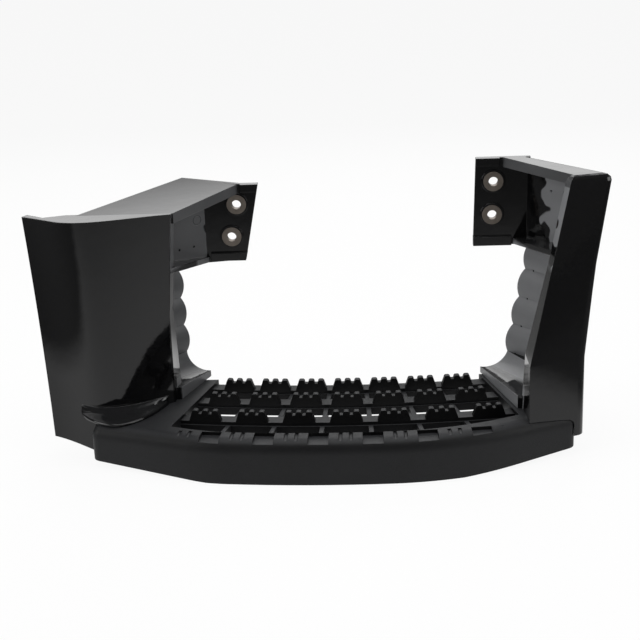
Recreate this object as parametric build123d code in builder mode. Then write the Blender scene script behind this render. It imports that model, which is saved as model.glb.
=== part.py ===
"""Entry step for a truck: a toothed tread hung between two moulded uprights that bolt to the cab."""

import os
from math import cos, radians, sin, sqrt

from build123d import *

os.makedirs("parts", exist_ok=True)

# Every place below is measured from the middle of the tread's grating: x to the right,
# y towards the truck, z up from the top of the grating's bars.
MIDDLE = Vector(26.8, 46.5, 45)
FLOOR = -45
MOUNT_Y = 50.5
WALL = 4
FINE = 1e-6

# Outline of the tread seen from above
TREAD_LEFT = -278
TREAD_RIGHT = 246
TREAD_REAR = 36
LEFT_CORNER_Y = -90
RIGHT_CORNER_Y = -80
NOSE_Y = -143.5
LEFT_BEND_X = -150
RIGHT_BEND_X = 125
BOW_RADIUS = 1200
LEFT_BEND_RADIUS = 200
RIGHT_BEND_RADIUS = 350
CORNER_RADIUS = 10
NOSE_RADIUS = 14
SHELF = 4
PLATE = 5
END_RISE = 9
CUT_PAST = 1.1

# Fan of the grating: the ribs all point at one spot behind the step
FAN_Y = 384.5
FAN_SPREAD = 0.112
COLUMNS = 7
WINDOW_FRONT_X = 197
WINDOW_REAR_X = 151
ROW_Y = (-127, -76, -27.5, 13)
BAR_DEPTH = 17
BAR_LEDGE = 1.5
BAR_DROP = 4
GRATE_DROP = 12.5
REAR_BEAM_DROP = 22
RIB_WIDTH = 5

# Toothed blocks
BLOCK_WIDTH = 35.5
BLOCK_DEPTH = 6.5
TEETH = 3
TOOTH_PITCH = 11
TOOTH_TIP = 12.5
TOOTH_VALLEY = 8.5
TOOTH_CREST = 5.6
TOOTH_FLOOR = 3.2
TOOTH_ROUND = 2.2
GROOVE_RADIUS = 2.2
GROOVE_RISE = 0.7

# Foot bolts with their inserts
BOLT_R = 4
BOLT_HOLE_R = 4.3
BOLT_FLANGE_R = 9
BOLT_FLANGE = 2
BOLT_HEAD_ACROSS = 13
BOLT_HEAD_SIDES = 6
BOLT_HEAD = 6
BOLT_LENGTH = 28
BOSS_R = 10
BOSS_DROP = 14
SEAT = SHELF - BOSS_DROP
BOLT_CLEARANCE = 1.5
INSERT_R = 5.5
INSERT_LENGTH = 16
INSERT_FIT = 0.05
LEFT_BOLTS = ((-234, -36), (-222, -6), (-212, 20))
RIGHT_BOLTS = ((226, -66), (215, -22), (206, 20))

# Sleeves through the tabs
SLEEVE_BORE_R = 5.25
SLEEVE_R = 7.5
SLEEVE_FLANGE_R = 11
SLEEVE_FLANGE = 1.5
SLEEVE_FIT = 0.05
SLEEVE_SPACING = 38
PAD_R = 13
PAD = 1.5
TAB = 5


def sleeve_pair(middle, lean):
    """Centres of a tab's upper and lower sleeve, the line through them leaning to the right."""
    across = SLEEVE_SPACING / 2 * sin(radians(lean))
    up = SLEEVE_SPACING / 2 * cos(radians(lean))
    return (middle[0] + across, middle[1] + up), (middle[0] - across, middle[1] - up)


# Both uprights
SKIRT_GAP = 1
ARM_LIP = 11
ARM_FLOOR = 6
TAB_LIP = 9
TAB_LIP_DEPTH = 9
TAB_SPLAY = 3
GRIP_BULGE = 5
FOOT_EDGE = 7
FOOT_EDGE_FRONT = 15
FLARE_BEND = 0.7
PIN_R = 1.3
PIN_DEPTH = 2.5
PANEL_ROUND = 8
SHOULDER = 7
TURN_SHARES = (0, 0.25, 0.5, 0.75, 1)
SHOULDER_TURNS = (0, 30, 60, 90)

# Right upright: corners of its thin walls at the skirt, the knee, the arm's floor and the top
R_TOP = 257
R_ARM_DEPTH = 94
R_FLOOR_REAR = R_TOP - R_ARM_DEPTH
R_KNEE_Y = -70
R_HEIGHTS = (-23, 66, 165, R_TOP)
R_FRONT_IN = ((195, -99), (195, -99), (218.8, -73.6), (241, -50))
R_FRONT_OUT = ((256, -76), (256, -76), (270.5, -56.3), (288, -38))
R_REAR_OUT = ((256, 46), (256, 46), (208, 48), (208, 48))
R_REAR_IN = ((174, 42), (191, 42), (210.5, 42), (185, 42))
R_LIP = ((40,), (40,), (20,), (8,))
R_WEB_REAR_X = 208
R_TAB_TOP_X = 174
R_TAB_FLOOR_X = 187.5
R_TAB_IN_X = 148
R_FLOOR_SLOPE = 0.16
R_GRIP_FIRST = 30
GRIP_PITCH = 33
GRIP_WAVES = 4
R_GRIP_REAR = 42
R_GRIP_FRONT = 8
R_GRIP_DRIFT = 30
R_PIN_SHARE = 0.3
R_WEB_PINS = ((230.9, R_TOP - 32.5), (242.7, R_TOP - 30.5), (224.6, R_FLOOR_REAR + 11))
R_FOOT_REAR_X = 153
R_FOOT_FRONT_X = 186
R_FOOT_FRONT_Y = -64
R_FLARE_FRONT_X = 240
R_SLEEVE_DROP = 45.5
R_SLEEVE_LEAN = 2
R_SLEEVE_X = 166.6
R_SLEEVES = sleeve_pair((R_SLEEVE_X, R_TOP - R_SLEEVE_DROP), R_SLEEVE_LEAN)

# Left upright: its curved shroud and thin walls at the skirt, half way and the top
L_TOP = 231
L_ARM_DEPTH = 81
L_FLOOR_REAR = L_TOP - L_ARM_DEPTH
L_FLOOR_RISE = 18
L_FLOOR_FRONT = L_FLOOR_REAR + L_FLOOR_RISE
L_HEIGHTS = (-44, 110, L_TOP)
L_WING = ((-331, -37), (-333, -45), (-337, -53))
L_NOSE = ((-256.5, -59), (-273, -69), (-290, -79))
L_FRONT_IN = ((-194.4, -22), (-190, -41), (-178, -58.5))
L_REAR_IN = ((-184, 48), (-190.5, 48), (-150, 48))
L_LIP = ((34,), (30,), (10,))
L_SWELL = 6
SHROUD_TAPER = (0.6, 0.4, 0.2, 0, 0)
L_BOX_OUT = ((-256, -52), (-268, -62), (-280, -68))
L_BOX_REAR = ((-236, 46), (-232, 46), (-232, 46))
L_WEB_REAR_X = -156
L_TOP_REAR = ((-114, L_TOP + 4), (-179, L_TOP + 12))
L_TAB_IN = ((-94, L_TOP + 4), (-111.5, L_FLOOR_REAR - 3))
L_TAB_FLOOR_X = -151
L_GRIP_FIRST = 36
L_GRIP_WAVES = 3
L_GRIP_REAR = 48
L_GRIP_FRONT = 8
L_GRIP_DRIFT = -40
L_WEB_PINS = ((-171.3, L_FLOOR_REAR + 17), (-186.1, L_FLOOR_REAR + 17))
L_FOOT_REAR_X = -161
L_FOOT_FRONT_X = -187
L_FOOT_FRONT_Y = -20
L_FLARE_FRONT_X = -240
L_SLEEVE_DROP = 37.6
L_SLEEVE_LEAN = 11
L_SLEEVE_X = -122.7
L_SLEEVES = sleeve_pair((L_SLEEVE_X, L_TOP - L_SLEEVE_DROP), L_SLEEVE_LEAN)
LEDGE = ((-294, -57), (-268, -86), (-245, -92), (-226, -80), (-212, -61), (-200, -35))
LEDGE_STEPS = ((0, 1), (3, 1), (5, 0.62), (7.5, 0.26), (10, -0.04))
SKIRT_WING = -30
SKIRT_CORNER = -43.5


def rail(points, heights, height):
    """Place of a corner at a height, along straight runs between the heights where it is known."""
    for low, high, start, end in zip(heights, heights[1:], points, points[1:]):
        if height <= high:
            share = (height - low) / (high - low)
            return tuple(a + (b - a) * share for a, b in zip(start, end))
    return points[-1]


def along(start, end, distance):
    """Spot at a distance from one place towards another."""
    step = (Vector(*end) - Vector(*start)).normalized() * distance
    return (start[0] + step.X, start[1] + step.Y)


def shroud_line(height):
    """Five places along the shroud's face at a height, from the wing to the inner edge."""
    wing, nose, inner = (rail(side, L_HEIGHTS, height) for side in (L_WING, L_NOSE, L_FRONT_IN))
    flank = tuple((a + b) / 2 for a, b in zip(wing, nose))
    face = ((nose[0] + inner[0]) / 2, (nose[1] + inner[1]) / 2 - L_SWELL)
    return [wing, flank, nose, face, inner]


def shroud_at(height, x):
    """Depth of the shroud's face at a height and a sideways place."""
    face = Edge.make_spline([Vector(*place) for place in shroud_line(height)])
    low, high = 0, 1
    while high - low > FINE:
        middle = (low + high) / 2
        if face.position_at(middle).X < x:
            low = middle
        else:
            high = middle
    return face.position_at(low).Y


def web_plane(rear, front, place):
    """Plane on a slanting web at a sideways place and height, square to the web."""
    x, height = place
    depth = rear[1] + (front[1] - rear[1]) * (x - rear[0]) / (front[0] - rear[0])
    across = Vector(front[1] - rear[1], rear[0] - front[0], 0)
    return Plane(origin=MIDDLE + Vector(x, depth, height), x_dir=(0, 0, 1), z_dir=across)


def strip(line, thickness):
    """Closed outline of a wall: a line of places and the same line moved in by a thickness."""
    sides = []
    for start, end in zip(line, line[1:]):
        run = (Vector(*end) - Vector(*start)).normalized()
        shift = Vector(-run.Y, run.X) * thickness
        sides.append((Vector(*start) + shift, Vector(*end) + shift, run))
    moved = [sides[0][0]]
    for (start, _, run), (next_start, _, next_run) in zip(sides, sides[1:]):
        reach = (next_start - start).cross(next_run).Z / run.cross(next_run).Z
        moved.append(start + run * reach)
    moved.append(sides[-1][1])
    return list(line) + [(spot.X, spot.Y) for spot in reversed(moved)]


def turn(before, corner, after, radius):
    """Places round a wall's corner, on a curve that leaves both sides a radius from it."""
    start, end = along(corner, before, radius), along(corner, after, radius)
    return [tuple((1 - t) ** 2 * a + 2 * t * (1 - t) * b + t ** 2 * c for a, b, c in zip(start, corner, end))
            for t in TURN_SHARES]


def panel_line(height, inset=0):
    """Right upright's lip, panel and outer side at a height, drawn in by an inset."""
    inner, outer, rear = (rail(side, R_HEIGHTS, height) for side in (R_FRONT_IN, R_FRONT_OUT, R_REAR_OUT))
    lip = along(inner, rail(R_REAR_IN, R_HEIGHTS, height), rail(R_LIP, R_HEIGHTS, height)[0])
    line = [lip, inner, outer, rear]
    return strip(line, inset)[:len(line) - 1:-1] if inset else line


def level(height):
    """Horizontal plane at a height above the grating's bars."""
    return Plane(origin=MIDDLE + Vector(0, 0, height))


def upright_plane(depth):
    """Vertical plane facing the viewer, at a depth behind the middle."""
    return Plane(origin=MIDDLE + Vector(0, depth, 0), x_dir=(1, 0, 0), z_dir=(0, -1, 0))


def bow(x):
    """How far a row falls back at a distance from its middle."""
    return x * x / (2 * BOW_RADIUS)


def fan(column, depth):
    """Sideways place of a line of the fan at a depth."""
    return column * FAN_SPREAD * (FAN_Y - depth)


def tread_outline(inset=0, rear=TREAD_REAR, mode=Mode.ADD):
    """Outline of the tread with its rear line at a depth, drawn in by an inset."""
    left_bend = (LEFT_BEND_X, NOSE_Y + bow(LEFT_BEND_X))
    right_bend = (RIGHT_BEND_X, NOSE_Y + bow(RIGHT_BEND_X))
    with BuildLine() as edge:
        Polyline(right_bend, (TREAD_RIGHT, RIGHT_CORNER_Y), (TREAD_RIGHT, rear),
                 (TREAD_LEFT, rear), (TREAD_LEFT, LEFT_CORNER_Y), left_bend)
        ThreePointArc(left_bend, (0, NOSE_Y), right_bend)
        fillet(edge.vertices().sort_by_distance(left_bend)[0], LEFT_BEND_RADIUS)
        fillet(edge.vertices().sort_by_distance(right_bend)[0], RIGHT_BEND_RADIUS)
        if inset:
            offset(amount=-inset, kind=Kind.INTERSECTION, mode=Mode.REPLACE)
    make_face(edge.edges(), mode=mode)


def window_x(depth):
    """Half width of the grating's opening at a depth."""
    share = (TREAD_REAR - depth) / (TREAD_REAR - window_front)
    return WINDOW_REAR_X + (WINDOW_FRONT_X - WINDOW_REAR_X) * share


def fan_window(extra, rear):
    """Opening of the grating: slanted sides with an extra width, nose ahead, straight rear."""
    front_x, rear_x = window_x(NOSE_Y) + extra, window_x(rear) + extra
    with BuildLine() as edge:
        Polyline((front_x, NOSE_Y), (rear_x, rear), (-rear_x, rear), (-front_x, NOSE_Y), close=True)
    make_face(edge.edges())


def bar_band(row, ahead, behind):
    """Bowed band of one transverse bar."""
    front, rear = row - ahead, row + behind
    front_x, rear_x = window_x(front) + WALL / 2, window_x(rear) + WALL / 2
    with BuildLine() as edge:
        ThreePointArc((-front_x, front + bow(front_x)), (0, front), (front_x, front + bow(front_x)))
        Line((front_x, front + bow(front_x)), (rear_x, rear + bow(rear_x)))
        ThreePointArc((rear_x, rear + bow(rear_x)), (0, rear), (-rear_x, rear + bow(rear_x)))
        Line((-rear_x, rear + bow(rear_x)), (-front_x, front + bow(front_x)))
    make_face(edge.edges())


def row_plane(row, place, ahead):
    """Plane on a row's front face at one column, facing forwards along the row's own curve."""
    x = fan(place, row)
    slope = x / BOW_RADIUS
    along = Vector(1, slope, 0).normalized()
    spot = MIDDLE + Vector(x, row + bow(x) - ahead, 0)
    return Plane(origin=spot, x_dir=along, z_dir=Vector(along.Y, -along.X, 0))


block_places = [column - (COLUMNS - 1) / 2 for column in range(COLUMNS)]
gap_places = [column - (COLUMNS - 2) / 2 for column in range(COLUMNS - 1)]
nose_row = ROW_Y[0]
inner_rows = ROW_Y[1:]
window_front = nose_row + BAR_DEPTH / 2

with BuildPart() as tread:
    # Body with its rounded top edge, hollow below except for the beam along the nose
    with BuildSketch(level(SHELF)):
        tread_outline()
    extrude(amount=FLOOR - SHELF)
    upright_edges = tread.edges().filter_by(Axis.Z)
    ends = upright_edges.filter_by(lambda e: e.center().X - MIDDLE.X in (TREAD_LEFT, TREAD_RIGHT))
    fillet([e for e in ends if e.center().Y < MIDDLE.Y], CORNER_RADIUS)
    top_edges = tread.faces().sort_by(Axis.Z)[-1].edges()
    rear_line = MIDDLE.Y + TREAD_REAR
    fillet([e for e in top_edges if abs(e.center().Y - rear_line) > WALL], NOSE_RADIUS)
    with BuildSketch(level(FLOOR)):
        tread_outline(WALL)
    extrude(amount=-FLOOR - GRATE_DROP, mode=Mode.SUBTRACT)
    with BuildSketch(level(-GRATE_DROP)):
        tread_outline(window_front - NOSE_Y)
    extrude(amount=GRATE_DROP + SHELF - PLATE, mode=Mode.SUBTRACT)
    # Side walls of the grating, then its opening through everything
    with BuildSketch(level(FLOOR)):
        fan_window(WALL, TREAD_REAR)
        tread_outline(NOSE_RADIUS, TREAD_REAR + NOSE_RADIUS, mode=Mode.INTERSECT)
    extrude(amount=SHELF - FLOOR)
    with BuildSketch(level(FLOOR)):
        fan_window(0, TREAD_REAR + WALL)
        tread_outline(window_front - NOSE_Y, TREAD_REAR - 2 * NOSE_Y, mode=Mode.INTERSECT)
    extrude(amount=SHELF - FLOOR, mode=Mode.SUBTRACT)
    # Transverse bars with a small ledge at their foot, the rearmost one a deeper beam
    for row in inner_rows:
        with BuildSketch(level(0)):
            bar_band(row, BAR_DEPTH / 2 - BAR_LEDGE, BAR_DEPTH / 2)
        extrude(amount=-BAR_DROP)
        with BuildSketch(level(-BAR_DROP)):
            bar_band(row, BAR_DEPTH / 2, BAR_DEPTH / 2)
        extrude(amount=BAR_DROP - (REAR_BEAM_DROP if row == inner_rows[-1] else GRATE_DROP))
    # Thin ribs of the fan
    with BuildSketch(level(-BAR_DROP)):
        for place in gap_places:
            front, rear = window_front - 1, inner_rows[-1]
            half = RIB_WIDTH / 2
            with BuildLine():
                Polyline((fan(place, front) - half, front), (fan(place, front) + half, front),
                         (fan(place, rear) + half, rear), (fan(place, rear) - half, rear), close=True)
            make_face()
    extrude(amount=BAR_DROP - GRATE_DROP)
    # Toothed blocks along the front edge of each bar
    block_planes = [row_plane(row, place, BAR_DEPTH / 2 - BAR_LEDGE)
                    for row in inner_rows for place in block_places]
    with BuildSketch(*block_planes) as block:
        half = BLOCK_WIDTH / 2
        peaks = [(tooth - (TEETH - 1) / 2) * TOOTH_PITCH for tooth in range(TEETH)]
        line = [(-half, 0), (-half, 1)]
        for peak in peaks:
            if peak != peaks[0]:
                line.append((peak - (TOOTH_PITCH - TOOTH_FLOOR) / 2, TOOTH_VALLEY))
            line += [(peak - TOOTH_CREST / 2, TOOTH_TIP), (peak + TOOTH_CREST / 2, TOOTH_TIP)]
            if peak != peaks[-1]:
                line.append((peak + (TOOTH_PITCH - TOOTH_FLOOR) / 2, TOOTH_VALLEY))
        line += [(half, 1), (half, 0)]
        with BuildLine():
            Polyline(*line, close=True)
        make_face()
        fillet(block.vertices().filter_by(lambda corner: corner.Y > TOOTH_VALLEY + 1), TOOTH_ROUND)
    extrude(amount=-BLOCK_DEPTH)
    # Notches through the nose at each rib, and the grooves across its crest
    notch = fan(1, nose_row) - BLOCK_WIDTH
    with BuildSketch(*[row_plane(nose_row, place, -BAR_DEPTH / 2) for place in gap_places]):
        Rectangle(notch, SHELF + 1, align=(Align.CENTER, Align.MIN))
    extrude(amount=BAR_DEPTH * 2, mode=Mode.SUBTRACT)
    with BuildSketch(*[row_plane(nose_row, place, -BAR_DEPTH / 2) for place in block_places]):
        with GridLocations(TOOTH_PITCH, 1, TEETH - 1, 1):
            with Locations((0, SHELF + GROOVE_RISE)):
                Circle(GROOVE_RADIUS)
    extrude(amount=BAR_DEPTH, mode=Mode.SUBTRACT)
    # Lower edge rising towards both ends
    with BuildSketch(upright_plane(TREAD_REAR + 1)):
        for bend, end in ((LEFT_BEND_X, TREAD_LEFT), (RIGHT_BEND_X, TREAD_RIGHT)):
            with BuildLine():
                Polyline((bend, FLOOR), (end, FLOOR + END_RISE), (end * CUT_PAST, FLOOR + END_RISE),
                         (end * CUT_PAST, FLOOR - 1), (bend, FLOOR - 1), close=True)
            make_face()
    extrude(amount=TREAD_REAR - NOSE_Y + WALL, mode=Mode.SUBTRACT)
    # Bosses and holes for the foot bolts
    with BuildSketch(level(SHELF - PLATE)):
        with Locations(*LEFT_BOLTS, *RIGHT_BOLTS):
            Circle(BOSS_R)
    extrude(amount=PLATE - BOSS_DROP)
    with BuildSketch(level(SHELF)):
        with Locations(*LEFT_BOLTS, *RIGHT_BOLTS):
            Circle(BOLT_HOLE_R)
    extrude(amount=FLOOR, mode=Mode.SUBTRACT)
    with BuildSketch(level(SEAT)):
        with Locations(*LEFT_BOLTS, *RIGHT_BOLTS):
            Circle(BOLT_FLANGE_R + BOLT_CLEARANCE)
    extrude(amount=FLOOR, mode=Mode.SUBTRACT)
tread.part.label = "tread"
export_step(tread.part, "parts/tread.step")

# Solid outline of the tread, a little larger all round: what the uprights must clear
with BuildPart() as tread_room:
    with BuildSketch(level(SHELF)):
        tread_outline(-SKIRT_GAP)
    extrude(amount=2 * FLOOR)
    room_edges = tread_room.edges().filter_by(Axis.Z)
    fillet([e for e in room_edges if abs(e.center().X - MIDDLE.X) > (RIGHT_BEND_X + TREAD_RIGHT) / 2
            and e.center().Y < MIDDLE.Y], CORNER_RADIUS)
    room_top = tread_room.faces().sort_by(Axis.Z)[-1].edges()
    fillet([e for e in room_top if e.center().Y < rear_line - WALL], NOSE_RADIUS)

# Right upright's wavy grip wall, cut off half way through the outer side that it runs into
waves = [R_GRIP_FIRST + GRIP_PITCH * wave for wave in range(GRIP_WAVES + 1)]
valleys = [(rail(R_REAR_IN, R_HEIGHTS, height)[0], height) for height in waves]
with BuildPart() as right_grip:
    with BuildSketch(upright_plane(R_GRIP_REAR)):
        with BuildLine():
            for low, high in zip(valleys, valleys[1:]):
                ThreePointArc(low, ((low[0] + high[0]) / 2 - GRIP_BULGE, (low[1] + high[1]) / 2), high)
            Polyline(valleys[0], (valleys[0][0] + WALL, valleys[0][1]),
                     (valleys[-1][0] + WALL, valleys[-1][1]),
                     valleys[-1])
        make_face()
    run = Vector(R_GRIP_DRIFT, R_GRIP_FRONT - R_GRIP_REAR, 0)
    extrude(amount=run.length, dir=run.normalized())
    for height in R_HEIGHTS[1:3]:
        side_front, side_rear = panel_line(height, WALL / 2)[2:]
        with BuildSketch(level(height)):
            with BuildLine():
                Polyline(side_front, side_rear, (side_rear[0] + R_GRIP_DRIFT, side_rear[1]),
                         (side_front[0] + R_GRIP_DRIFT, side_front[1]), close=True)
            make_face()
    loft(ruled=True, mode=Mode.SUBTRACT)

with BuildPart() as right_upright:
    # Front panel and outer side in one turn, thin, kinked at the knee
    steps = [(height, 0) for height in R_HEIGHTS[:-1]]
    for angle in SHOULDER_TURNS:
        steps.append((R_TOP + SHOULDER * (sin(radians(angle)) - 1), SHOULDER * (1 - cos(radians(angle)))))
    for height, inset in steps:
        lip, inner, outer, rear, *inside = strip(panel_line(height, inset), WALL)
        corner = turn(inner, outer, rear, max(PANEL_ROUND - inset, 1))
        with BuildSketch(level(height)):
            with BuildLine():
                Polyline(lip, inner, *corner, rear, *inside, close=True)
            make_face()
    loft(ruled=True)
    # Top of the arm with the lip along its open side
    arm_in, arm_out, arm_rear = panel_line(R_TOP, SHOULDER)[1:]
    with BuildSketch(level(R_TOP)):
        with BuildLine():
            Polyline(arm_in, arm_out, arm_rear, (arm_rear[0], MOUNT_Y), (R_TAB_TOP_X, MOUNT_Y), close=True)
        make_face()
    extrude(amount=-SHOULDER)
    with BuildSketch(level(R_TOP)):
        with BuildLine():
            Polyline(*strip([along((R_TAB_TOP_X, MOUNT_Y), arm_in, WALL), arm_in], WALL), close=True)
        make_face()
    extrude(amount=-ARM_LIP)
    # Sloping floor of the arm
    floor_plane = Plane(origin=MIDDLE + Vector(0, MOUNT_Y, R_FLOOR_REAR), x_dir=(1, 0, 0),
                        z_dir=(0, R_FLOOR_SLOPE, 1))
    floor_front = R_FLOOR_REAR + R_FLOOR_SLOPE * (MOUNT_Y - R_KNEE_Y)
    with BuildSketch(floor_plane):
        floor_in, floor_out, floor_rear = panel_line(floor_front, WALL / 2)[1:]
        corners = [floor_in, along(floor_out, floor_in, PANEL_ROUND),
                   along(floor_out, floor_rear, PANEL_ROUND),
                   (R_WEB_REAR_X, MOUNT_Y), (R_TAB_FLOOR_X, MOUNT_Y)]
        with BuildLine():
            Polyline(*[(x, (y - MOUNT_Y) * sqrt(1 + R_FLOOR_SLOPE ** 2)) for x, y in corners], close=True)
        make_face()
    extrude(amount=-ARM_FLOOR)
    # Tab with its upper and lower lips, and a raised pad round each sleeve
    tab_low_in = R_TAB_IN_X - TAB_SPLAY
    with BuildSketch(upright_plane(MOUNT_Y)):
        with BuildLine():
            Polyline((R_TAB_IN_X, R_TOP), (R_WEB_REAR_X, R_TOP), (R_WEB_REAR_X, R_FLOOR_REAR - ARM_FLOOR),
                     (tab_low_in, R_FLOOR_REAR - ARM_FLOOR), close=True)
        make_face()
    extrude(amount=TAB)
    with BuildSketch(upright_plane(MOUNT_Y)):
        with BuildLine():
            Polyline((R_TAB_IN_X, R_TOP), (R_TAB_TOP_X, R_TOP), (R_TAB_TOP_X, R_TOP - TAB_LIP),
                     (R_TAB_IN_X, R_TOP - TAB_LIP), close=True)
        make_face()
        with BuildLine():
            Polyline((tab_low_in, R_FLOOR_REAR - ARM_FLOOR), (R_TAB_FLOOR_X, R_FLOOR_REAR - ARM_FLOOR),
                     (R_TAB_FLOOR_X, R_FLOOR_REAR + WALL), (tab_low_in, R_FLOOR_REAR + WALL), close=True)
        make_face()
    extrude(amount=TAB_LIP_DEPTH)
    with BuildSketch(upright_plane(MOUNT_Y)):
        with Locations(*R_SLEEVES):
            Circle(PAD_R)
    extrude(amount=TAB + PAD)
    with BuildSketch(upright_plane(MOUNT_Y)):
        with Locations(*R_SLEEVES):
            Circle(SLEEVE_R + SLEEVE_FIT)
    extrude(amount=TAB + PAD, mode=Mode.SUBTRACT)
    # Wavy grip wall, and below it the flare that widens into the foot towards the rear
    add(right_grip.part)
    foot_ends = ((R_GRIP_REAR, R_FOOT_REAR_X, FOOT_EDGE, valleys[0][0]),
                 (R_FOOT_FRONT_Y, R_FOOT_FRONT_X, FOOT_EDGE_FRONT, R_FLARE_FRONT_X))
    for depth, edge_x, edge_z, top_x in foot_ends:
        top_z = valleys[0][1]
        bend = (edge_x + (top_x - edge_x) * FLARE_BEND,
                SHELF + edge_z + (top_z - SHELF - edge_z) * (1 - FLARE_BEND))
        with BuildSketch(upright_plane(depth)):
            with BuildLine():
                ThreePointArc((edge_x, SHELF + edge_z), bend, (top_x, top_z))
                Polyline((top_x, top_z), (top_x + WALL, top_z), (top_x + WALL, SHELF), (edge_x, SHELF),
                         (edge_x, SHELF + edge_z))
            make_face()
    loft(ruled=True)
    # Pin holes in the grip's valleys and in the arm's web
    pin_depth = R_GRIP_REAR + (R_GRIP_FRONT - R_GRIP_REAR) * R_PIN_SHARE
    with BuildSketch(upright_plane(pin_depth)):
        with Locations(*[(x + R_GRIP_DRIFT * R_PIN_SHARE, height) for x, height in valleys[:-1]]):
            Circle(PIN_R)
    extrude(amount=-PIN_DEPTH, mode=Mode.SUBTRACT)
    web_pins = [web_plane(rail(R_REAR_OUT, R_HEIGHTS, pin[1]), rail(R_FRONT_OUT, R_HEIGHTS, pin[1]), pin)
                for pin in R_WEB_PINS]
    with BuildSketch(*[pin.offset(WALL) for pin in web_pins]):
        Circle(PIN_R)
    extrude(amount=-PIN_DEPTH, mode=Mode.SUBTRACT)
    # Foot plate with a blind boss over each bolt
    with BuildSketch(level(SHELF)):
        with BuildLine():
            Polyline(R_FRONT_IN[0], R_FRONT_OUT[0], R_REAR_OUT[0], (R_FOOT_REAR_X + BOSS_R, R_GRIP_REAR),
                     (R_FOOT_FRONT_X + BOSS_R, R_FOOT_FRONT_Y), close=True)
        make_face()
        offset(amount=-WALL / 2, kind=Kind.INTERSECTION, mode=Mode.REPLACE)
    extrude(amount=PLATE)
    with BuildSketch(level(SHELF)):
        with Locations(*RIGHT_BOLTS):
            Circle(BOSS_R)
    extrude(amount=INSERT_LENGTH + PLATE)
    with BuildSketch(level(SHELF)):
        with Locations(*RIGHT_BOLTS):
            Circle(INSERT_R + INSERT_FIT)
    extrude(amount=INSERT_LENGTH, mode=Mode.SUBTRACT)
    # Clear of the tread's rounded end, so the panel arches over it and the skirt hangs past it
    add(tread_room.part, mode=Mode.SUBTRACT)
right_upright.part.label = "right_upright"
export_step(right_upright.part, "parts/right_upright.step")

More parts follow.
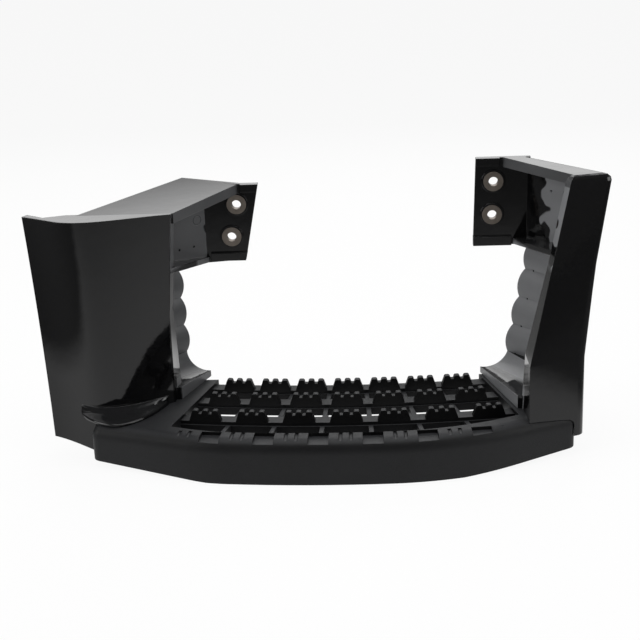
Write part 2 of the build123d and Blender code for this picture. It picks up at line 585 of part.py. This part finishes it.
with BuildPart() as left_upright:
    # Curved shroud from the wing to the inner edge, a smooth skin
    for height in L_HEIGHTS:
        skin = shroud_line(height)
        inside = [(x + WALL * share, y + WALL) for (x, y), share in zip(skin, SHROUD_TAPER)]
        with BuildSketch(level(height)):
            with BuildLine():
                Spline(*skin)
                Line(skin[-1], inside[-1])
                Spline(*inside[::-1])
                Line(inside[0], skin[0])
            make_face()
    loft()
    # Lip behind the shroud's inner edge, and the box wall behind its outer half
    for height in L_HEIGHTS:
        inner = rail(L_FRONT_IN, L_HEIGHTS, height)
        lip = along(inner, rail(L_REAR_IN, L_HEIGHTS, height), rail(L_LIP, L_HEIGHTS, height)[0])
        with BuildSketch(level(height)):
            with BuildLine():
                Polyline(*strip([(inner[0], inner[1] + 1), lip], WALL), close=True)
            make_face()
    loft(ruled=True)
    for height in (SHELF, L_FLOOR_FRONT - ARM_FLOOR / 2):
        with BuildSketch(level(height)):
            with BuildLine():
                box = [rail(L_BOX_REAR, L_HEIGHTS, height), rail(L_BOX_OUT, L_HEIGHTS, height)]
                Polyline(*strip(box, WALL), close=True)
            make_face()
    loft(ruled=True)
    # Top of the arm: flat behind the shroud, then twisted up towards its outer rear corner
    skin = shroud_line(L_TOP)
    (wing_x, wing_y), (flank_x, flank_y), (nose_x, _), face, (inner_x, inner_y) = skin
    with BuildSketch(level(L_TOP)):
        with BuildLine():
            Spline(*[(x, y + 1) for x, y in skin])
            Polyline((inner_x, inner_y + 1), (inner_x, inner_y + 2 * WALL), (nose_x, inner_y + 2 * WALL),
                     (flank_x, flank_y + 2 * WALL), (wing_x + WALL, wing_y + 2 * WALL), (wing_x, wing_y + 1))
        make_face()
    extrude(amount=-WALL)
    arm_front = inner_y + WALL
    arm_x = inner_x + WALL / 2
    box_x = L_BOX_OUT[-1][0]
    (top_in_x, top_in_z), (top_out_x, top_out_z) = L_TOP_REAR
    top_ends = ((arm_front, arm_x, L_TOP, box_x, L_TOP),
                (MOUNT_Y, top_in_x, top_in_z, top_out_x, top_out_z))
    for depth, near_x, near_z, far_x, far_z in top_ends:
        with BuildSketch(upright_plane(depth)):
            with BuildLine():
                Polyline((near_x, near_z), (far_x, far_z), (far_x, far_z - WALL), (near_x, near_z - WALL),
                         close=True)
            make_face()
    loft(ruled=True)
    for depth, near_x, near_z, far_x, far_z in top_ends:
        with BuildSketch(upright_plane(depth)):
            with BuildLine():
                Polyline((near_x, near_z), (near_x - WALL, near_z), (near_x - WALL, near_z - ARM_LIP),
                         (near_x, near_z - ARM_LIP), close=True)
            make_face()
    loft(ruled=True)
    # Floor and web of the arm
    floor_x, floor_y = rail(L_FRONT_IN, L_HEIGHTS, L_FLOOR_FRONT)
    for depth, near_x, far_x, top in ((floor_y + WALL / 2, floor_x, box_x + WALL, L_FLOOR_FRONT),
                                      (MOUNT_Y, L_TAB_FLOOR_X, L_WEB_REAR_X - WALL, L_FLOOR_REAR)):
        with BuildSketch(upright_plane(depth)):
            with BuildLine():
                Polyline((near_x, top), (far_x, top), (far_x, top - ARM_FLOOR), (near_x, top - ARM_FLOOR),
                         close=True)
            make_face()
    loft(ruled=True)
    with BuildSketch(level(L_FLOOR_REAR - ARM_FLOOR / 2)):
        with BuildLine():
            Polyline(*strip([(L_WEB_REAR_X, MOUNT_Y), (box_x, arm_front)], WALL), close=True)
        make_face()
    extrude(amount=L_TOP - L_FLOOR_REAR + ARM_FLOOR / 2 - 1)
    # Tab with its upper and lower lips, and a raised pad round each sleeve
    (tab_top_x, tab_top_z), (tab_low_x, tab_low_z) = L_TAB_IN
    with BuildSketch(upright_plane(MOUNT_Y)):
        with BuildLine():
            Polyline((tab_top_x, tab_top_z), (top_in_x, top_in_z), (L_WEB_REAR_X - WALL, top_out_z - WALL),
                     (L_WEB_REAR_X - WALL, L_FLOOR_REAR - ARM_FLOOR), (tab_low_x, tab_low_z), close=True)
        make_face()
    extrude(amount=TAB)
    with BuildSketch(upright_plane(MOUNT_Y)):
        with BuildLine():
            Polyline((tab_top_x, tab_top_z), (top_in_x, top_in_z), (top_in_x, top_in_z - TAB_LIP),
                     (tab_top_x - 2, tab_top_z - TAB_LIP), close=True)
        make_face()
        with BuildLine():
            Polyline((tab_low_x, tab_low_z), (L_TAB_FLOOR_X, tab_low_z), (L_TAB_FLOOR_X, tab_low_z + TAB_LIP),
                     (tab_low_x + 2, tab_low_z + TAB_LIP), close=True)
        make_face()
    extrude(amount=TAB_LIP_DEPTH)
    with BuildSketch(upright_plane(MOUNT_Y)):
        with Locations(*L_SLEEVES):
            Circle(PAD_R)
    extrude(amount=TAB + PAD)
    with BuildSketch(upright_plane(MOUNT_Y)):
        with Locations(*L_SLEEVES):
            Circle(SLEEVE_R + SLEEVE_FIT)
    extrude(amount=TAB + PAD, mode=Mode.SUBTRACT)
    # Wavy grip wall, and below it the flare that widens into the foot towards the rear
    waves = [L_GRIP_FIRST + GRIP_PITCH * wave for wave in range(L_GRIP_WAVES + 1)]
    valleys = [(rail(L_REAR_IN, L_HEIGHTS, min(height, L_HEIGHTS[1]))[0], height) for height in waves]
    with BuildSketch(upright_plane(L_GRIP_REAR)):
        with BuildLine():
            for low, high in zip(valleys, valleys[1:]):
                ThreePointArc(low, ((low[0] + high[0]) / 2 + GRIP_BULGE, (low[1] + high[1]) / 2), high)
            Polyline(valleys[0], (valleys[0][0] - WALL, valleys[0][1]),
                     (valleys[-1][0] - WALL, valleys[-1][1] + ARM_FLOOR),
                     (valleys[-1][0], valleys[-1][1] + ARM_FLOOR), valleys[-1])
        make_face()
    run = Vector(L_GRIP_DRIFT, L_GRIP_FRONT - L_GRIP_REAR, 0)
    extrude(amount=run.length, dir=run.normalized())
    foot_ends = ((L_GRIP_REAR, L_FOOT_REAR_X, FOOT_EDGE, valleys[0][0]),
                 (L_FOOT_FRONT_Y, L_FOOT_FRONT_X, FOOT_EDGE_FRONT, L_FLARE_FRONT_X))
    for depth, edge_x, edge_z, top_x in foot_ends:
        top_z = valleys[0][1]
        bend = (edge_x + (top_x - edge_x) * FLARE_BEND,
                SHELF + edge_z + (top_z - SHELF - edge_z) * (1 - FLARE_BEND))
        with BuildSketch(upright_plane(depth)):
            with BuildLine():
                ThreePointArc((edge_x, SHELF + edge_z), bend, (top_x, top_z))
                Polyline((top_x, top_z), (top_x - WALL, top_z), (top_x - WALL, SHELF), (edge_x, SHELF),
                         (edge_x, SHELF + edge_z))
            make_face()
    loft(ruled=True)
    # Ledge at the shroud's foot: its hollow face runs out level and ends in a sharp tip
    for rise, reach in LEDGE_STEPS:
        with BuildSketch(level(SHELF + rise)):
            with BuildLine():
                near = [shroud_at(SHELF + rise, x) for x, y in LEDGE]
                front = [(x, near_y + (y - near_y) * reach)
                         for (x, y), near_y in zip(LEDGE, near)]
                Spline(*front)
                back = [(x, near_y + WALL / 2) for (x, y), near_y in zip(LEDGE, near)]
                Line(front[-1], back[-1])
                Spline(*back[::-1])
                Line(back[0], front[0])
            make_face()
    loft()
    # Pin holes in the arm's web
    web_pins = [web_plane((L_WEB_REAR_X, MOUNT_Y), (box_x, arm_front), pin) for pin in L_WEB_PINS]
    with BuildSketch(*[pin.offset(-WALL) for pin in web_pins]):
        Circle(PIN_R)
    extrude(amount=PIN_DEPTH, mode=Mode.SUBTRACT)
    # Foot plate with a blind boss over each bolt
    with BuildSketch(level(SHELF)):
        with BuildLine():
            Polyline(L_FRONT_IN[0], (L_FOOT_FRONT_X - BOSS_R, L_FOOT_FRONT_Y),
                     (L_FOOT_REAR_X - BOSS_R, L_GRIP_REAR),
                     L_BOX_REAR[0], L_BOX_OUT[0], close=True)
        make_face()
        offset(amount=-WALL / 2, kind=Kind.INTERSECTION, mode=Mode.REPLACE)
    extrude(amount=PLATE)
    with BuildSketch(level(SHELF)):
        with Locations(*LEFT_BOLTS):
            Circle(BOSS_R)
    extrude(amount=INSERT_LENGTH + PLATE)
    with BuildSketch(level(SHELF)):
        with Locations(*LEFT_BOLTS):
            Circle(INSERT_R + INSERT_FIT)
    extrude(amount=INSERT_LENGTH, mode=Mode.SUBTRACT)
    # Skirt cut so that it drops from the wing to the tread's corner
    with BuildSketch(upright_plane(MOUNT_Y)):
        with BuildLine():
            Polyline((L_WING[0][0] - 1, SKIRT_WING), (TREAD_LEFT, SKIRT_CORNER), (TREAD_LEFT, FLOOR * 2),
                     (L_WING[0][0] - 1, FLOOR * 2), close=True)
        make_face()
    extrude(amount=MOUNT_Y - NOSE_Y, mode=Mode.SUBTRACT)
    # Clear of the tread's rounded end, so the skirt hangs past it
    add(tread_room.part, mode=Mode.SUBTRACT)
left_upright.part.label = "left_upright"
export_step(left_upright.part, "parts/left_upright.step")

# Steel sleeves pressed into the tabs, each a barrel with a flange against the pad
SLEEVE_PLACES = {
    "left_upper_sleeve": L_SLEEVES[0],
    "left_lower_sleeve": L_SLEEVES[1],
    "right_upper_sleeve": R_SLEEVES[0],
    "right_lower_sleeve": R_SLEEVES[1],
}
for sleeve_name, place in SLEEVE_PLACES.items():
    with BuildPart() as sleeve:
        with BuildSketch(upright_plane(MOUNT_Y)):
            with Locations(place):
                Circle(SLEEVE_R)
        extrude(amount=TAB + PAD)
        with BuildSketch(upright_plane(MOUNT_Y - TAB - PAD)):
            with Locations(place):
                Circle(SLEEVE_FLANGE_R)
        extrude(amount=SLEEVE_FLANGE)
        with BuildSketch(upright_plane(MOUNT_Y)):
            with Locations(place):
                Circle(SLEEVE_BORE_R)
        extrude(amount=TAB + PAD + SLEEVE_FLANGE, mode=Mode.SUBTRACT)
    sleeve.part.label = sleeve_name
    export_step(sleeve.part, f"parts/{sleeve_name}.step")

# Flanged bolts from below and the threaded inserts they screw into, one set to each foot
for side, places in (("left", LEFT_BOLTS), ("right", RIGHT_BOLTS)):
    with BuildPart() as bolts:
        with BuildSketch(level(SEAT)):
            with Locations(*places):
                Circle(BOLT_FLANGE_R)
        extrude(amount=-BOLT_FLANGE)
        with BuildSketch(level(SEAT - BOLT_FLANGE)):
            with Locations(*places):
                RegularPolygon(BOLT_HEAD_ACROSS / 2, BOLT_HEAD_SIDES, major_radius=False)
        extrude(amount=-BOLT_HEAD)
        with BuildSketch(level(SEAT)):
            with Locations(*places):
                Circle(BOLT_R)
        extrude(amount=BOLT_LENGTH)
    bolts.part.label = f"{side}_foot_bolts"
    export_step(bolts.part, f"parts/{side}_foot_bolts.step")

    with BuildPart() as inserts:
        with BuildSketch(level(SHELF)):
            with Locations(*places):
                Circle(INSERT_R)
                Circle(BOLT_R + INSERT_FIT, mode=Mode.SUBTRACT)
        extrude(amount=INSERT_LENGTH)
    inserts.part.label = f"{side}_foot_inserts"
    export_step(inserts.part, f"parts/{side}_foot_inserts.step")
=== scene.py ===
from math import cos, radians, sin

import bmesh
import bpy
from mathutils import Matrix, Vector


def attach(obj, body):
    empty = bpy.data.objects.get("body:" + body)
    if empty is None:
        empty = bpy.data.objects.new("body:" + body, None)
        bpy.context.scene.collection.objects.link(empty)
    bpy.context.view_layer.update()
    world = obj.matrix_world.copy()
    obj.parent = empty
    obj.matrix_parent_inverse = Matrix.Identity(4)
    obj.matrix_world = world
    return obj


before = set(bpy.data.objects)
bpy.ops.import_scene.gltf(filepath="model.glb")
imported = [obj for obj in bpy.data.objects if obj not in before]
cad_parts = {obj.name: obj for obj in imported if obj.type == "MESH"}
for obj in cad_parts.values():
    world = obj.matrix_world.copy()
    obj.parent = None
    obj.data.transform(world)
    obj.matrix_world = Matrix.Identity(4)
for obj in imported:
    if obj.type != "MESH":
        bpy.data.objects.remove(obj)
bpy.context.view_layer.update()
scene = bpy.context.scene
scene.view_settings.view_transform = "Standard"


# Tread: one black moulding, an open grating of toothed bars inside a deep rounded apron.
# The plastic is spark-eroded in the mould, so it has a fine grain and hardly shines,
# and its up-facing faces, the teeth and the bar tops, and the tread's lower part below the
# apron's top band are painted a little paler, unevenly, as painted light.
class Value:
    """A socket in a material that can be used in sums."""

    def __init__(self, finish, socket):
        self.finish = finish
        self.socket = socket

    def combine(self, operation, first, second):
        return self.finish.node("ShaderNodeMath", {"operation": operation}, {0: first, 1: second})

    def __add__(self, other):
        return self.combine("ADD", self, other)

    def __sub__(self, other):
        return self.combine("SUBTRACT", self, other)

    def __rsub__(self, other):
        return self.combine("SUBTRACT", other, self)

    def __mul__(self, other):
        return self.combine("MULTIPLY", self, other)

    __radd__ = __add__
    __rmul__ = __mul__


class Finish:
    """The nodes of a material or of the world."""

    def __init__(self, owner):
        owner.use_nodes = True
        self.owner = owner
        self.tree = owner.node_tree
        self.end, self.shader = self.tree.nodes
        if self.end.outputs:
            self.end, self.shader = self.shader, self.end

    def node(self, kind, settings, sockets, output=0):
        """Makes a node, with its settings set first, and gives one of its outputs."""
        made = self.tree.nodes.new(kind)
        for name, setting in settings.items():
            setattr(made, name, setting)
        for name, value in sockets.items():
            self.put(made.inputs[name], value)
        return Value(self, made.outputs[output])

    def put(self, socket, value):
        """Links a value to a socket, or sets the socket to a number or colour."""
        if isinstance(value, Value):
            self.tree.links.new(value.socket, socket)
        else:
            socket.default_value = value

    def surface(self, **sockets):
        """Feeds the shader that the material or world started with."""
        for name, value in sockets.items():
            self.put(self.shader.inputs[name.replace("_", " ")], value)

    def place(self, output="Object"):
        return self.node("ShaderNodeTexCoord", {}, {}, output)

    def along(self, axis, output="Object"):
        """Place along an axis in metres, or that part of the normal."""
        return self.node("ShaderNodeSeparateXYZ", {}, {0: self.place(output)}, axis)

    def noise(self, grain, detail):
        """Clouds whose size is about grain metres, from 0 to 1."""
        return self.node("ShaderNodeTexNoise", {},
                         {"Vector": self.place(), "Scale": 1 / grain, "Detail": detail})

    def step(self, value, low, high):
        """0 below low, 1 above high and smooth between."""
        return self.node("ShaderNodeMapRange", {"interpolation_type": "SMOOTHSTEP"},
                         {"Value": value, "From Min": low, "From Max": high})

    def away(self, spot):
        """Distance from a spot in metres."""
        return self.node("ShaderNodeVectorMath", {"operation": "DISTANCE"}, {0: self.place(), 1: spot},
                         "Value")

    def ring(self, spot, radius, width):
        """1 on a circle around a spot, 0 away from it."""
        far = self.away(spot)
        return self.step(far, radius - width, radius) * (1 - self.step(far, radius, radius + width))

    def shade(self, share, dark, pale):
        """Colour between a dark and a pale one."""
        return self.node("ShaderNodeMix", {"data_type": "RGBA"},
                         {"Factor": share, "A": (*dark, 1), "B": (*pale, 1)}, 2)

    def relief(self, height, depth, edge):
        """Bump of so many metres, over edges rounded to the radius edge."""
        rounded = self.node("ShaderNodeBevel", {"samples": 4}, {"Radius": edge})
        return self.node("ShaderNodeBump", {}, {"Height": height, "Distance": depth, "Normal": rounded})


def dress(node, finish):
    """Gives a CAD node its finish."""
    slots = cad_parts[node].data.materials
    slots.clear()
    slots.append(finish.owner)


TREAD_BLACK = (0.0022, 0.0022, 0.0025)
TREAD_PAINTED_PALE = (0.066, 0.068, 0.073)
APRON_TOP = (0.030, 0.049)
TREAD_GRAIN_DEPTH = 0.00025
TREAD_EDGE = 0.0008
tread_finish = Finish(bpy.data.materials.new("tread_grained_black"))
grain = tread_finish.noise(0.0011, 3.0)
patches = tread_finish.noise(0.05, 3.0)
facing_up = tread_finish.step(tread_finish.along("Z", "Normal"), 0.6, 0.95)
apron = 1 - tread_finish.step(tread_finish.along("Z"), *APRON_TOP)
# painted light: up-facing faces and the tread's lower part are painted paler, in uneven patches
painted_top_and_apron_light = (facing_up * 0.36 + apron * 0.16) * (patches * 0.6 + 0.6)
tread_finish.surface(
    Base_Color=tread_finish.shade(painted_top_and_apron_light, TREAD_BLACK, TREAD_PAINTED_PALE),
    Roughness=0.40 + patches * 0.12 + grain * 0.08,
    Specular_IOR_Level=0.22,
    Normal=tread_finish.relief(grain, TREAD_GRAIN_DEPTH, TREAD_EDGE),
)
dress("tread", tread_finish)


# Uprights: two black mouldings with a high gloss outside, which mirrors the studio, and a
# rough satin inside the arms and on the finger grips, where the mould is only brushed; its
# paler colour is partly a painted reflection of the floor and is painted paler on the right
# upright than on the left, with a painted highlight on the lip and a painted sheen on
# up-facing faces. The back of each web is glossy up to a wavy edge, and an ejector pin left
# a round mark on it.
UPRIGHT_BLACK = (0.0032, 0.0032, 0.0035)
UPRIGHT_SATIN_AND_PAINTED_LIGHT = (0.190, 0.193, 0.200)
LIP_PAINTED_HIGHLIGHT = 0.35
ARM_BOTTOM = (0.205, 0.212)
FLARE_TOP = (0.070, 0.078)
BORDER = 0.004
WET_BORDER = 0.002
WET_WAVES = 0.03
LIP_BORDER = 0.0005
PIN_MARK_RADIUS = 0.0055
PIN_MARK_WIDTH = 0.0008
RIPPLE_DEPTH = 0.0004
UPRIGHT_EDGE = 0.0012


def upright_finish(name, inwards, painted_side_light, grip_front, flare_front, lip_low, wet_edge, mark):
    """Gloss outside and a rough pale finish on the inward faces of the grip, the flare and, past the wet
    edge, the arm; the pale colour is partly a painted reflection, set per side as painted light, with a
    painted highlight on the lip and a painted sheen on up-facing faces.
    """
    finish = Finish(bpy.data.materials.new(name))
    orange_peel = finish.noise(0.012, 2.0)
    sink = finish.noise(0.055, 1.0)
    brush = finish.noise(0.0016, 3.0)
    smears = finish.noise(0.07, 4.0)
    height, depth = finish.along("Z"), finish.along("Y")
    looks_in = finish.along("X", "Normal") * inwards
    in_arm = finish.step(height, *ARM_BOTTOM)
    on_grip = finish.step(depth, grip_front - BORDER, grip_front + BORDER)
    on_flare = (1 - finish.step(height, *FLARE_TOP)) * finish.step(depth, flare_front - BORDER, flare_front)
    wall = finish.step(looks_in, 0.42, 0.62) * (1 - (1 - in_arm) * (1 - on_grip))
    flare = finish.step(looks_in, 0.15, 0.45) * on_flare
    inner = 1 - (1 - wall) * (1 - flare)
    # the lip above lip_low gets its own pale level, a painted highlight along its rounded edge
    lip = finish.step(height, lip_low, lip_low + LIP_BORDER)
    sideways = finish.along("X") * -inwards + finish.noise(0.022, 1.0) * WET_WAVES
    wet = in_arm * (1 - lip) * (1 - finish.step(sideways, wet_edge, wet_edge + WET_BORDER))
    pin_mark = finish.ring(mark, PIN_MARK_RADIUS, PIN_MARK_WIDTH) * inner
    # painted light: the same plastic is painted paler on the right upright's inward faces than on the
    # left's, and the lip gets its own painted highlight level
    pale = painted_side_light + lip * (LIP_PAINTED_HIGHLIGHT - painted_side_light)
    # partly real satin, partly a painted reflection of the floor: inward faces past the wet edge are
    # painted pale
    satin_and_painted_reflection = inner * (1 - wet) * (0.7 + smears * 0.5) * (1 - pin_mark * 0.7) * pale
    # painted sheen: up-facing faces are painted paler, unevenly along the smears
    painted_top_sheen = finish.step(finish.along("Z", "Normal"), 0.7, 0.95) * (0.03 + smears * 0.06)
    ripples = orange_peel * 0.25 + sink + brush * inner * 0.05
    finish.surface(
        Base_Color=finish.shade(satin_and_painted_reflection + painted_top_sheen, UPRIGHT_BLACK, UPRIGHT_SATIN_AND_PAINTED_LIGHT),
        Roughness=0.05 + smears * 0.05 + inner * (1 - wet) * (0.24 + brush * 0.08),
        Specular_IOR_Level=0.4,
        Normal=finish.relief(ripples - pin_mark * 0.5, RIPPLE_DEPTH, UPRIGHT_EDGE),
    )
    return finish


left_finish = upright_finish(
    "left_upright_gloss", inwards=1.0, painted_side_light=0.5, grip_front=0.060, flare_front=0.030,
    lip_low=0.2648, wet_edge=0.142, mark=(-0.1382, 0.0865, 0.2414),
)
right_finish = upright_finish(
    "right_upright_gloss", inwards=-1.0, painted_side_light=1.0, grip_front=-0.004, flare_front=-0.020,
    lip_low=0.2908, wet_edge=0.264, mark=(0.2710, 0.0485, 0.2589),
)
dress("left_upright", left_finish)
dress("right_upright", right_finish)


# Closing webs: thin flat parts of the two upright mouldings. One fills the gap under the
# right grip's lowest valley, one the slit over the left arm's web, and one roofs the left
# column beside the arm's floor.
GRIP_STEP_PLAN = ((0.2140, 0.0885), (0.2295, 0.0545), (0.2440, 0.0545), (0.2120, 0.0885))
GRIP_STEP_LOW = 0.0725
GRIP_STEP_HEIGHT = 0.0025
SLIT_REAR = (-0.1299, 0.0960)
SLIT_MIDDLE = (-0.1910, 0.0442)
SLIT_FRONT = (-0.2256, 0.0149)
SLIT_LOW = 0.2740
SLIT_TOP_REAR = 0.2823
SLIT_TOP_MIDDLE = 0.2788
SLIT_TOP_FRONT = 0.2755
SLIT_THROUGH = (0.0023, -0.0027, 0)
ROOF_CORNERS = ((-0.2032, 0.0905, 0.2095), (-0.2392, -0.0055, 0.2095), (-0.1332, 0.0955, 0.1925))
ROOF_THICKNESS = 0.0030


def closing_web(name, corners, through, finish):
    """A flat piece with these corners on one side, and the way through to its other side."""
    shape = bmesh.new()
    near = [shape.verts.new(corner) for corner in corners]
    far = [shape.verts.new(Vector(corner) + Vector(through)) for corner in corners]
    shape.faces.new(near)
    shape.faces.new(far)
    for first in range(len(corners)):
        second = first - 1
        shape.faces.new((near[first], near[second], far[second], far[first]))
    bmesh.ops.recalc_face_normals(shape, faces=shape.faces)
    mesh = bpy.data.meshes.new(name)
    shape.to_mesh(mesh)
    shape.free()
    mesh.materials.append(finish.owner)
    piece = bpy.data.objects.new(name, mesh)
    scene.collection.objects.link(piece)
    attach(piece, "root")


closing_web("right_grip_step", [(x, y, GRIP_STEP_LOW) for x, y in GRIP_STEP_PLAN],
            (0, 0, GRIP_STEP_HEIGHT), right_finish)
closing_web("left_arm_slit",
            ((*SLIT_REAR, SLIT_LOW), (*SLIT_REAR, SLIT_TOP_REAR), (*SLIT_MIDDLE, SLIT_TOP_MIDDLE),
             (*SLIT_FRONT, SLIT_TOP_FRONT), (*SLIT_FRONT, SLIT_LOW)),
            SLIT_THROUGH, left_finish)
closing_web("left_column_roof", ROOF_CORNERS, (0, 0, -ROOF_THICKNESS), left_finish)


# Sleeves: short plated steel bushes turned with a flange and pressed into the tabs, dull
# and slightly brown from their coating.
SLEEVE_STEEL = (0.31, 0.275, 0.24)
SLEEVE_STAIN = (0.17, 0.145, 0.125)
TURNING_DEPTH = 0.00006
SLEEVE_EDGE = 0.0006
sleeve_finish = Finish(bpy.data.materials.new("sleeve_dull_steel"))
stain = sleeve_finish.noise(0.006, 4.0)
turning = sleeve_finish.noise(0.0006, 2.0)
sleeve_finish.surface(
    Base_Color=sleeve_finish.shade(stain, SLEEVE_STAIN, SLEEVE_STEEL),
    Metallic=1.0,
    Roughness=0.36 + stain * 0.2,
    Normal=sleeve_finish.relief(turning, TURNING_DEPTH, SLEEVE_EDGE),
)
for sleeve in ("left_upper_sleeve", "left_lower_sleeve", "right_upper_sleeve", "right_lower_sleeve"):
    dress(sleeve, sleeve_finish)


# Foot bolts: zinc-plated flanged screws driven up through the tread's ends, into brass
# inserts pressed into the uprights' feet.
ZINC_DULL = (0.42, 0.42, 0.41)
ZINC_BRIGHT = (0.58, 0.58, 0.56)
BRASS_DULL = (0.48, 0.35, 0.14)
BRASS_BRIGHT = (0.66, 0.5, 0.24)
SPANGLE_DEPTH = 0.00004
BOLT_EDGE = 0.0005
bolt_finish = Finish(bpy.data.materials.new("bolt_zinc"))
spangle = bolt_finish.noise(0.003, 3.0)
bolt_finish.surface(
    Base_Color=bolt_finish.shade(spangle, ZINC_DULL, ZINC_BRIGHT),
    Metallic=1.0,
    Roughness=0.3 + spangle * 0.15,
    Normal=bolt_finish.relief(spangle, SPANGLE_DEPTH, BOLT_EDGE),
)
insert_finish = Finish(bpy.data.materials.new("insert_brass"))
tarnish = insert_finish.noise(0.004, 3.0)
insert_finish.surface(
    Base_Color=insert_finish.shade(tarnish, BRASS_DULL, BRASS_BRIGHT),
    Metallic=1.0,
    Roughness=0.3 + tarnish * 0.15,
)
for side in ("left", "right"):
    dress(f"{side}_foot_bolts", bolt_finish)
    dress(f"{side}_foot_inserts", insert_finish)


# Studio: the step stands on a white sheet, lit by soft boxes from above, the sides and
# behind, and is seen by a long lens from the front and a little above. In reflections the
# sheet glows brightest around the step, a painted pool of light.
FLOOR_HALF = 6.0
FLOOR_WHITE = (0.92, 0.92, 0.92, 1)
LIT_LEFT = (-0.52, -0.42)
LIT_RIGHT = (0.36, 0.46)
LIT_FRONT = (-0.95, -0.05)
LIT_BACK = (0.22, 0.40)
GLOW_SEEN = 0.92
GLOW_MIRRORED = 0.9
UNLIT = 0.1
LIT_GAIN = 0.85
ROOM_DIM = 0.15
floor_mesh = bpy.data.meshes.new("floor")
sheet = bmesh.new()
bmesh.ops.create_grid(sheet, x_segments=1, y_segments=1, size=FLOOR_HALF)
sheet.to_mesh(floor_mesh)
sheet.free()
floor = bpy.data.objects.new("floor", floor_mesh)
scene.collection.objects.link(floor)
floor_finish = Finish(bpy.data.materials.new("floor_white"))
floor_finish.surface(Base_Color=FLOOR_WHITE, Roughness=0.6)
across, back = floor_finish.along("X"), floor_finish.along("Y")
lit_across = floor_finish.step(across, *LIT_LEFT) * (1 - floor_finish.step(across, *LIT_RIGHT))
lit_back = floor_finish.step(back, *LIT_FRONT) * (1 - floor_finish.step(back, *LIT_BACK))
camera_ray = floor_finish.node("ShaderNodeLightPath", {}, {}, "Is Camera Ray")
glossy_ray = floor_finish.node("ShaderNodeLightPath", {}, {}, "Is Glossy Ray")
through_ray = floor_finish.node("ShaderNodeLightPath", {}, {}, "Is Transmission Ray")
mirrored = glossy_ray + through_ray
# painted pool of light: glossy and transmission rays see the sheet glow brighter in the rectangle around
# the step
glow_with_painted_pool = camera_ray + mirrored * (lit_across * lit_back * LIT_GAIN + UNLIT)
paper = floor_finish.node("ShaderNodeMixShader", {}, {
    0: camera_ray * GLOW_SEEN + mirrored * GLOW_MIRRORED,
    1: Value(floor_finish, floor_finish.shader.outputs[0]),
    2: floor_finish.node("ShaderNodeEmission", {}, {"Color": glow_with_painted_pool}),
})
floor_finish.put(floor_finish.end.inputs["Surface"], paper)
floor_mesh.materials.append(floor_finish.owner)

world = bpy.data.worlds.new("studio")
scene.world = world
room = Finish(world)
seen = room.node("ShaderNodeLightPath", {}, {}, "Is Camera Ray")
room.surface(Color=(1, 1, 1, 1), Strength=seen * (1 - ROOM_DIM) + ROOM_DIM)


def soft_box(name, spot, aim, width, height, power):
    """A rectangular lamp at spot that faces aim."""
    lamp = bpy.data.lights.new(name, "AREA")
    lamp.shape = "RECTANGLE"
    lamp.size = width
    lamp.size_y = height
    lamp.energy = power
    box = bpy.data.objects.new(name, lamp)
    box.location = spot
    box.rotation_euler = (Vector(aim) - Vector(spot)).to_track_quat("-Z", "Y").to_euler()
    scene.collection.objects.link(box)


soft_box("top_box", spot=(0, 0, 1.5), aim=(0, 0, 0.1), width=1.4, height=1.0, power=12)
soft_box("left_box", spot=(-1.5, -0.5, 0.8), aim=(0, 0, 0.15), width=0.9, height=1.1, power=12)
soft_box("right_box", spot=(1.5, -0.5, 0.8), aim=(0, 0, 0.15), width=0.9, height=1.1, power=12)
soft_box("back_box", spot=(0, 1.3, 0.85), aim=(0, 0, 0.25), width=1.7, height=0.9, power=8)

AIM = Vector((0.0014, -0.0135, 0.155))
TOWARDS_EYE = Vector((0.0462, -0.9385, 0.3420)).normalized()
DISTANCE = 1.5
ROLL = radians(-2.3)
FOCAL_LENGTH = 78.75
SENSOR_WIDTH = 36
level_right = Vector((0, 0, 1)).cross(TOWARDS_EYE).normalized()
level_up = TOWARDS_EYE.cross(level_right)
right = level_right * cos(ROLL) + level_up * sin(ROLL)
up = level_up * cos(ROLL) - level_right * sin(ROLL)
lens = bpy.data.cameras.new("camera")
lens.lens = FOCAL_LENGTH
lens.sensor_width = SENSOR_WIDTH
camera = bpy.data.objects.new("camera", lens)
turn = Matrix((right, up, TOWARDS_EYE)).transposed().to_4x4()
camera.matrix_world = Matrix.Translation(AIM + TOWARDS_EYE * DISTANCE) @ turn
scene.collection.objects.link(camera)
scene.camera = camera
